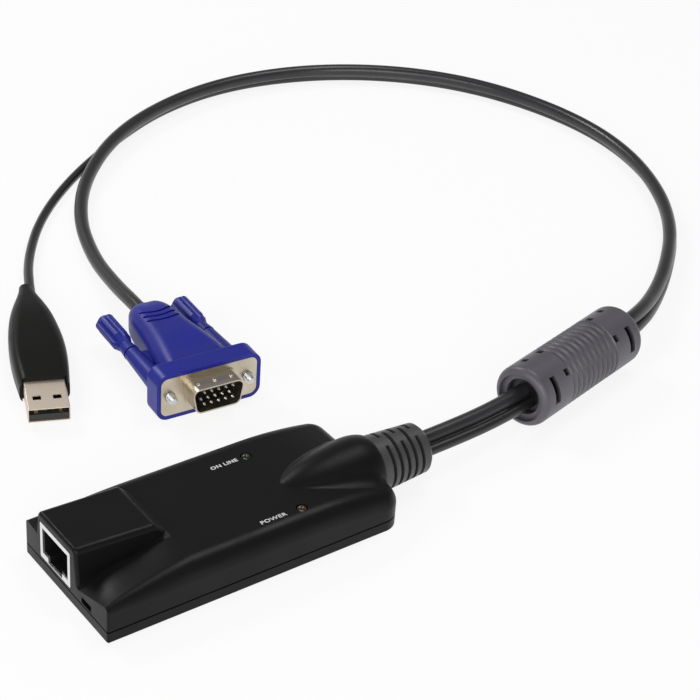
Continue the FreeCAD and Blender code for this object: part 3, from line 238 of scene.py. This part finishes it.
def moulded(name, tone, worn, rough, rubbed, grain_size=0.0004, depth=0.00004, shine=0.5):
    """A moulded plastic or rubber finish, with its tone and roughness as made and where rubbed."""
    made = material(name, tone, rough)
    shader = made.node_tree.nodes["Principled BSDF"]
    shader.inputs["Specular IOR Level"].default_value = shine
    skin = place_group(made, moulded_skin, {
        "Grain Size": grain_size, "Tone": (*tone, 1), "Worn Tone": (*worn, 1),
        "Low Gloss": rough, "High Gloss": rubbed})
    wire(made.node_tree, skin, "Color", shader, "Base Color")
    wire(made.node_tree, skin, "Roughness", shader, "Roughness")
    raise_surface(made, skin, strength=0.35, depth=depth)
    return made


def dress(finish, *names):
    """Put a finish on every slot of the named nodes."""
    for name in names:
        for holder in nodes[name].material_slots:
            holder.material = finish


case_black = moulded("case_black", tone=(0.0045, 0.0043, 0.0044), worn=(0.0070, 0.0066, 0.0068),
                     rough=0.40, rubbed=0.30, shine=0.15)
dress(case_black, "top_cover", "bottom_cover")
word_ink = moulded("word_ink", tone=(0.78, 0.78, 0.77), worn=(0.60, 0.60, 0.59), rough=0.5,
                   rubbed=0.4, grain_size=0.0001, depth=0.000005)
DECK_HEIGHT, LETTER_SIZE = 0.014, 0.0018
INK_DEPTH, INK_SPREAD = 0.00001, 0.00003


def printed_word(name, word, start, middle, reach):
    """A word in white ink that reads along the deck, from its start and over its reach."""
    bpy.ops.object.select_all(action="DESELECT")
    bpy.ops.object.text_add(location=(0, 0, 0))
    text = bpy.context.object
    text.name = name
    text.data.body = word
    text.data.align_y = "CENTER"
    text.data.size = LETTER_SIZE
    text.data.space_character = 1.1
    text.data.offset = INK_SPREAD
    text.data.extrude = INK_DEPTH
    bpy.ops.object.convert(target="MESH")
    piece = bpy.context.object
    widest = max(corner.co.x for corner in piece.data.vertices)
    piece.scale.x = reach / widest
    piece.location = (start, middle, DECK_HEIGHT + INK_DEPTH)
    bpy.ops.object.transform_apply(location=True, rotation=True, scale=True)
    piece.data.materials.clear()
    piece.data.materials.append(word_ink)
    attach(piece, "dongle")


printed_word("online_word", "ON LINE", start=0.0043, middle=0.0110, reach=0.0083)
printed_word("power_word", "POWER", start=0.0027, middle=-0.0152, reach=0.0080)

# ---- Screws -------------------------------------------------------------------------
# Four zinc-plated steel screws with cross recesses close the case from below.
# The plating keeps the turning marks and is a little dull.

# lines left by turning or rolling, with slow stains of gloss
turned_grain, given, result = new_group(
    "turned_grain",
    [("Stretch", "NodeSocketVector", (1, 1, 1)), ("Lines", "NodeSocketFloat", 2500.0),
     ("Low Gloss", "NodeSocketFloat", 0.35), ("High Gloss", "NodeSocketFloat", 0.2)],
    [("Mask", "NodeSocketFloat"), ("Roughness", "NodeSocketFloat"), ("Height", "NodeSocketFloat")])
places = turned_grain.nodes.new("ShaderNodeTexCoord")
stretched = turned_grain.nodes.new("ShaderNodeMapping")
wire(turned_grain, places, "Object", stretched, "Vector")
wire(turned_grain, given, "Stretch", stretched, "Scale")
lines = turned_grain.nodes.new("ShaderNodeTexNoise")
lines.inputs["Detail"].default_value = 2
wire(turned_grain, stretched, "Vector", lines, "Vector")
wire(turned_grain, given, "Lines", lines, "Scale")
stain = turned_grain.nodes.new("ShaderNodeTexNoise")
stain.inputs["Scale"].default_value = 160
stain.inputs["Detail"].default_value = 4
wire(turned_grain, places, "Object", stain, "Vector")
gloss = turned_grain.nodes.new("ShaderNodeMapRange")
wire(turned_grain, stain, "Fac", gloss, "Value")
wire(turned_grain, given, "Low Gloss", gloss, "To Min")
wire(turned_grain, given, "High Gloss", gloss, "To Max")
wire(turned_grain, gloss, "Result", result, "Roughness")
wire(turned_grain, stain, "Fac", result, "Mask")
wire(turned_grain, lines, "Fac", result, "Height")


def plated(name, tone, dull_tone, rough, bright, stretch=(1, 1, 1), lines=2500.0):
    """A plated metal finish, with fine lines and a slow drift between dull and bright."""
    made = material(name, tone, rough, metallic=1.0)
    tree = made.node_tree
    skin = place_group(made, turned_grain, {
        "Stretch": stretch, "Lines": lines, "Low Gloss": rough, "High Gloss": bright})
    drift = blend(tree, (skin, "Mask"), (*dull_tone, 1), (*tone, 1))
    shader = tree.nodes["Principled BSDF"]
    wire(tree, drift, MIXED_COLOUR, shader, "Base Color")
    wire(tree, skin, "Roughness", shader, "Roughness")
    raise_surface(made, skin, strength=0.3, depth=0.00001)
    return made


screw_zinc = plated("screw_zinc", tone=(0.72, 0.72, 0.70), dull_tone=(0.55, 0.55, 0.54), rough=0.42,
                    bright=0.28)
dress(screw_zinc, "cover_screws")

# ---- Network jack -------------------------------------------------------------------
# A folded sheet shield of bright-plated brass round a black glass-filled housing.
# Eight gold-plated wires are sprung across the roof of the port.

shield_bright = plated("shield_bright", tone=(0.86, 0.86, 0.85), dull_tone=(0.70, 0.70, 0.69),
                       rough=0.30, bright=0.16, stretch=(1, 1, 12), lines=600)
dress(shield_bright, "jack_shield")
jack_black = moulded("jack_black", tone=(0.006, 0.006, 0.006), worn=(0.010, 0.010, 0.010),
                     rough=0.45, rubbed=0.35, shine=0.2)
dress(jack_black, "jack_housing")
contact_gold = plated("contact_gold", tone=(0.88, 0.66, 0.28), dull_tone=(0.72, 0.50, 0.20),
                      rough=0.3, bright=0.18, stretch=(1, 6, 1), lines=1500)
dress(contact_gold, "jack_contacts", "usb_contacts")

# ---- Slide switch -------------------------------------------------------------------
# A tiny board-mounted switch that looks out of a slot beside the jack.
# Its knob is a pale nylon tooth, moved with a pen tip.

switch_black = moulded("switch_black", tone=(0.012, 0.012, 0.012), worn=(0.02, 0.02, 0.02),
                       rough=0.5, rubbed=0.4, grain_size=0.0003)
dress(switch_black, "switch_body")
knob_nylon = moulded("knob_nylon", tone=(0.70, 0.70, 0.66), worn=(0.60, 0.60, 0.56), rough=0.45,
                     rubbed=0.35, grain_size=0.0003)
dress(knob_nylon, "switch_knob")

# ---- Lamps --------------------------------------------------------------------------
# Two 3 mm lamps of cast epoxy whose domes stand out of the deck, on tinned wire legs.
# Both are unlit: one is tinted green and one amber.


def lamp_resin(name, tone):
    """Clear cast epoxy with a tint."""
    made = moulded(name, tone=tone, worn=tuple(0.8 * channel for channel in tone), rough=0.12,
                   rubbed=0.2, grain_size=0.0005, depth=0.00001)
    shader = made.node_tree.nodes["Principled BSDF"]
    shader.inputs["Transmission Weight"].default_value = 0.35
    shader.inputs["IOR"].default_value = 1.54
    return made


dress(lamp_resin("lamp_green", (0.020, 0.032, 0.014)), "link_led")
dress(lamp_resin("lamp_amber", (0.060, 0.034, 0.010)), "power_led")
tinned_wire = plated("tinned_wire", tone=(0.75, 0.75, 0.74), dull_tone=(0.55, 0.55, 0.55),
                     rough=0.4, bright=0.25)
dress(tinned_wire, "lamp_legs")

# ---- Circuit board ------------------------------------------------------------------
# Glass-epoxy board under green solder mask, with its chips, can and ceramic parts.
# None of it shows while the case is closed.

board_green = moulded("board_green", tone=(0.02, 0.17, 0.07), worn=(0.03, 0.22, 0.09), rough=0.35,
                      rubbed=0.25, grain_size=0.0012)
dress(board_green, "circuit_board")
chip_black = moulded("chip_black", tone=(0.02, 0.02, 0.022), worn=(0.03, 0.03, 0.032), rough=0.6,
                     rubbed=0.5, grain_size=0.0002)
dress(chip_black, "main_chip", "memory_chip", "usb_chip")
can_metal = plated("can_metal", tone=(0.75, 0.75, 0.76), dull_tone=(0.62, 0.62, 0.63), rough=0.4,
                   bright=0.3)
dress(can_metal, "crystal", "capacitors")
chip_ceramic = moulded("chip_ceramic", tone=(0.42, 0.34, 0.25), worn=(0.5, 0.42, 0.3), rough=0.55,
                       rubbed=0.45, grain_size=0.0002)
dress(chip_ceramic, "small_parts")
header_nylon = moulded("header_nylon", tone=(0.80, 0.78, 0.70), worn=(0.74, 0.72, 0.64), rough=0.5,
                       rubbed=0.4)
dress(header_nylon, "cord_header")
lead_skin = moulded("lead_skin", tone=(0.35, 0.05, 0.04), worn=(0.30, 0.04, 0.03), rough=0.45,
                    rubbed=0.35, grain_size=0.0003)
dress(lead_skin, "signal_leads")

# ---- Strain relief ------------------------------------------------------------------
# Soft PVC moulded over the start of both cords and held by the two case halves, dark grey.
# Broken slots round it let it bend.

boot_grey = moulded("boot_grey", tone=(0.044, 0.044, 0.046), worn=(0.058, 0.058, 0.060), rough=0.42,
                    rubbed=0.34, shine=0.45)
dress(boot_grey, "strain_relief")

# ---- Ferrite ------------------------------------------------------------------------
# A sintered ferrite tube in a moulded plastic sleeve, which is grey with a slight violet cast.
# The sleeve is ringed in the middle, and its gate windows show near both ends.

SLEEVE_SPOT, SLEEVE_YAW = (0.1025, -0.0005, 0.0094), math.radians(13.8)
SLEEVE_LENGTH, SLEEVE_ENDS = 0.051, 0.003
GROOVE_RADIUS, RIB_RADIUS = 0.0080, 0.0093
sleeve_grey = moulded("sleeve_grey", tone=(0.078, 0.073, 0.087), worn=(0.096, 0.091, 0.106),
                      rough=0.42, rubbed=0.34, shine=0.5)
tree = sleeve_grey.node_tree
places = tree.nodes.new("ShaderNodeTexCoord")
laid = tree.nodes.new("ShaderNodeMapping")
laid.vector_type = "TEXTURE"
laid.inputs["Location"].default_value = SLEEVE_SPOT
laid.inputs["Rotation"].default_value = (0, 0, SLEEVE_YAW)
wire(tree, places, "Object", laid, "Vector")
parts = tree.nodes.new("ShaderNodeSeparateXYZ")
wire(tree, laid, "Vector", parts, "Vector")
across = tree.nodes.new("ShaderNodeCombineXYZ")
wire(tree, parts, "Y", across, "Y")
wire(tree, parts, "Z", across, "Z")
reach = tree.nodes.new("ShaderNodeVectorMath")
reach.operation = "LENGTH"
wire(tree, across, "Vector", reach, "Vector")
# painted shade darkens the ring grooves by their depth, and the window pits are painted black
# inside as shade
outside = tree.nodes.new("ShaderNodeMapRange")
outside.inputs["From Min"].default_value = GROOVE_RADIUS
outside.inputs["From Max"].default_value = RIB_RADIUS
wire(tree, reach, "Value", outside, "Value")
past_front = reckon(tree, "GREATER_THAN", (parts, "X"), SLEEVE_ENDS)
before_back = reckon(tree, "LESS_THAN", (parts, "X"), SLEEVE_LENGTH - SLEEVE_ENDS)
middle = reckon(tree, "MULTIPLY", (past_front, "Value"), (before_back, "Value"))
inward = reckon(tree, "SUBTRACT", 1.0, (outside, "Result"))
painted_recess_shade = reckon(tree, "MULTIPLY", (middle, "Value"), (inward, "Value"))
skin = next(node for node in tree.nodes if node.type == "GROUP")
shaded = blend(tree, (painted_recess_shade, "Value"), (skin, "Color"), (0.002, 0.002, 0.002, 1))
wire(tree, shaded, MIXED_COLOUR, tree.nodes["Principled BSDF"], "Base Color")
dress(sleeve_grey, "ferrite_sleeve")
ferrite_black = moulded("ferrite_black", tone=(0.003, 0.003, 0.003), worn=(0.006, 0.006, 0.006),
                        rough=0.6, rubbed=0.5, grain_size=0.0006, shine=0.1)
dress(ferrite_black, "ferrite_core")

# ---- Video plug ---------------------------------------------------------------------
# A royal blue hood moulded over a stamped nickel shell, with two blue thumb screws.
# Fifteen pale flashed pins stand in a black insulator inside the D.

hood_blue = moulded("hood_blue", tone=(0.005, 0.010, 0.22), worn=(0.008, 0.014, 0.26), rough=0.44,
                    rubbed=0.36, grain_size=0.0006, shine=0.4)
dress(hood_blue, "video_hood", "left_thumb_grip", "right_thumb_grip")
video_nickel = plated("video_nickel", tone=(0.72, 0.64, 0.53), dull_tone=(0.46, 0.41, 0.31),
                      rough=0.42, bright=0.26)
dress(video_nickel, "video_shell")
insulator_black = moulded("insulator_black", tone=(0.004, 0.004, 0.005), worn=(0.007, 0.007, 0.008),
                          rough=0.5, rubbed=0.4, shine=0.15)
dress(insulator_black, "video_insulator")
pin_flash = plated("pin_flash", tone=(0.56, 0.55, 0.47), dull_tone=(0.42, 0.41, 0.36), rough=0.35,
                   bright=0.22, stretch=(1, 6, 1), lines=1500)
dress(pin_flash, "video_pins")

# ---- Jackscrews ---------------------------------------------------------------------
# Two steel screws of 2.8 mm, turned with a fine thread at the tip and pressed into the thumb
# grips. They run through the hood's sleeves and stand out of the flange.

THREAD_ROOT, THREAD_CREST = 0.00112, 0.0014
THREAD_PITCH, THREAD_TURNS = 0.000635, 8
THREAD_LENGTH = THREAD_PITCH * THREAD_TURNS
TIP_WIDTH, TIP_DEPTH, SHOULDER_DEPTH = 0.7, 0.3 * THREAD_ROOT, 0.0003
SCREW_REACH, SCREW_END, SCREW_OFFSET = 0.0026, 0.0415, 0.0125
PLUG_SPOT, PLUG_YAW = Vector((0.0302, 0.0523, 0.00755)), math.radians(5.0)


def grow(width, height):
    """Draw the selected face out by so much, and widen it to so many times its width."""
    bpy.ops.mesh.extrude_region_move(TRANSFORM_OT_translate={"value": (0, 0, height)})
    bpy.ops.transform.resize(value=(width, width, 1))


# one screw is modelled upright with its tip at the origin: first its core
bpy.ops.object.select_all(action="DESELECT")
bpy.ops.mesh.primitive_circle_add(vertices=32, radius=TIP_WIDTH * THREAD_ROOT, fill_type="NGON")
left_jackscrew = bpy.context.object
bpy.ops.object.mode_set(mode="EDIT")
grow(1 / TIP_WIDTH, TIP_DEPTH)
grow(1, THREAD_LENGTH)
grow(THREAD_CREST / THREAD_ROOT, SHOULDER_DEPTH)
grow(1, SCREW_END + SCREW_REACH - THREAD_LENGTH - SHOULDER_DEPTH - TIP_DEPTH)
bpy.ops.mesh.select_all(action="SELECT")
bpy.ops.mesh.normals_make_consistent(inside=False)
bpy.ops.object.mode_set(mode="OBJECT")

# then its thread, a small triangle wound round the core
bpy.ops.mesh.primitive_circle_add(vertices=3, radius=0.5 * THREAD_PITCH, fill_type="NOTHING",
                                  location=(THREAD_ROOT, 0, 0.55 * THREAD_PITCH),
                                  rotation=(math.radians(90), math.radians(90), 0))
thread = bpy.context.object
bpy.ops.object.transform_apply(location=True, rotation=True, scale=True)
turns = thread.modifiers.new("turns", "SCREW")
turns.axis = "Z"
turns.screw_offset = THREAD_PITCH
turns.iterations = THREAD_TURNS
turns.steps = turns.render_steps = 24
bpy.ops.object.modifier_apply(modifier="turns")
bpy.ops.object.mode_set(mode="EDIT")
bpy.ops.mesh.select_all(action="SELECT")
bpy.ops.mesh.fill_holes(sides=0)
bpy.ops.mesh.normals_make_consistent(inside=False)
bpy.ops.object.mode_set(mode="OBJECT")

left_jackscrew.select_set(True)
bpy.context.view_layer.objects.active = left_jackscrew
bpy.ops.object.join()
bpy.ops.object.shade_smooth_by_angle(angle=math.radians(35))
left_jackscrew.data.materials.append(screw_zinc)
right_jackscrew = left_jackscrew.copy()
right_jackscrew.data = left_jackscrew.data.copy()
bpy.context.scene.collection.objects.link(right_jackscrew)


def lay_screw(screw, name, offset, body, solid):
    """Lay a screw along the plug, beside its middle, on its body and in place of its solid."""
    bpy.ops.object.select_all(action="DESELECT")
    screw.select_set(True)
    bpy.context.view_layer.objects.active = screw
    screw.name = name
    screw.rotation_euler = (math.radians(-90), 0, -PLUG_YAW)
    across = Vector((math.cos(PLUG_YAW), -math.sin(PLUG_YAW), 0))
    along = Vector((math.sin(PLUG_YAW), math.cos(PLUG_YAW), 0))
    screw.location = PLUG_SPOT + across * offset - along * SCREW_REACH
    bpy.ops.object.transform_apply(location=True, rotation=True, scale=True)
    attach(screw, body)
    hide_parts(solid)


lay_screw(left_jackscrew, "left_threaded_screw", -SCREW_OFFSET, "left_screw", "left_jackscrew")
lay_screw(right_jackscrew, "right_threaded_screw", SCREW_OFFSET, "right_screw", "right_jackscrew")

# ---- USB plug -----------------------------------------------------------------------
# A leaf-shaped black overmould behind a folded nickel shell with two windows.
# The black tongue carries four gold contacts.

grip_black = moulded("grip_black", tone=(0.0035, 0.0035, 0.0030), worn=(0.0055, 0.0055, 0.0048),
                     rough=0.42, rubbed=0.32, grain_size=0.0006, shine=0.15)
dress(grip_black, "usb_overmould")
usb_nickel = plated("usb_nickel", tone=(0.80, 0.71, 0.60), dull_tone=(0.70, 0.61, 0.51), rough=0.55,
                    bright=0.42, stretch=(1, 1, 1), lines=2000)
dress(usb_nickel, "usb_shell")
tongue_black = moulded("tongue_black", tone=(0.02, 0.02, 0.02), worn=(0.03, 0.03, 0.03), rough=0.45,
                       rubbed=0.35)
dress(tongue_black, "usb_tongue")

# ---- Video cord ---------------------------------------------------------------------
# A round shielded cord of 4.6 mm in dark grey PVC. It leaves the strain relief, goes through
# the ferrite, lies in one wide loop and ends in the video plug.


def flexible(name, points, radius, finish):
    """A round cord on one smooth line that follows its route's points."""
    line = bpy.data.curves.new(name, "CURVE")
    line.dimensions = "3D"
    spline = line.splines.new("NURBS")
    spline.points.add(len(points) - 1)
    for knot, (x, y, z) in zip(spline.points, points):
        knot.co = (x, y, z, 1)
    spline.order_u = 3
    spline.use_endpoint_u = True
    spline.resolution_u = 16
    line.bevel_depth = radius
    line.bevel_resolution = 8
    line.use_fill_caps = True
    line.materials.append(finish)
    piece = bpy.data.objects.new(name, line)
    bpy.context.scene.collection.objects.link(piece)
    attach(piece, "dongle")
    return piece


video_route = [
    (0.050, -0.0025, 0.0096), (0.072, -0.00245, 0.0096), (0.095, -0.0008, 0.0097),
    (0.118, 0.0046, 0.0096), (0.146, 0.0116, 0.0094), (0.168, 0.0185, 0.0080),
    (0.1854, 0.0286, 0.0055), (0.2022, 0.041, 0.0054), (0.220, 0.0575, 0.0051),
    (0.2348, 0.0783, 0.00485), (0.2456, 0.1041, 0.00485), (0.2489, 0.1314, 0.00485),
    (0.2435, 0.1608, 0.00485), (0.2305, 0.1878, 0.00485), (0.2091, 0.2093, 0.00485),
    (0.1812, 0.2237, 0.00485), (0.1497, 0.2287, 0.00485), (0.1186, 0.2233, 0.00485),
    (0.0888, 0.2088, 0.0049), (0.0656, 0.1884, 0.0032), (0.0506, 0.1656, 0.00235),
    (0.0419, 0.1406, 0.0025), (0.0372, 0.1184, 0.0052), (0.03439, 0.1003, 0.0080),
    (0.03307, 0.0852, 0.00825)]
jacket_grey = moulded("jacket_grey", tone=(0.018, 0.018, 0.020), worn=(0.026, 0.026, 0.029),
                      rough=0.34, rubbed=0.26, grain_size=0.0008, shine=0.5)
video_line = flexible("video_line", video_route, 0.0046 / 2, jacket_grey)
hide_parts("video_cord")

# ---- USB cord -----------------------------------------------------------------------
# A thinner cord of 3.1 mm in black PVC, bonded to the video cord along the loop. It parts
# from it at the far side and runs to its own plug.

usb_route = [
    (0.050, -0.0062, 0.0081), (0.072, -0.0061, 0.0080), (0.095, -0.0044, 0.0080),
    (0.118, 0.0009, 0.0078), (0.146, 0.0080, 0.0074), (0.169, 0.0170, 0.0046),
    (0.1866, 0.0283, 0.0017), (0.2030, 0.0405, 0.0016), (0.2213, 0.0568, 0.0016),
    (0.2365, 0.0777, 0.0016), (0.2475, 0.1038, 0.0016), (0.2508, 0.1316, 0.0016),
    (0.2449, 0.1615, 0.0016), (0.2315, 0.1888, 0.0016), (0.2098, 0.2105, 0.0016),
    (0.1816, 0.225, 0.0016), (0.1497, 0.2305, 0.0016), (0.1181, 0.225, 0.0016),
    (0.0892, 0.2106, 0.0016), (0.0617, 0.1925, 0.0016), (0.040, 0.173, 0.0016),
    (0.0245, 0.152, 0.0019), (0.0145, 0.1326, 0.0040), (0.0082, 0.117, 0.0043)]
jacket_black = moulded("jacket_black", tone=(0.009, 0.009, 0.009), worn=(0.014, 0.014, 0.014),
                       rough=0.34, rubbed=0.26, grain_size=0.0008, shine=0.6)
usb_line = flexible("usb_line", usb_route, 0.0031 / 2, jacket_black)
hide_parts("usb_cord")
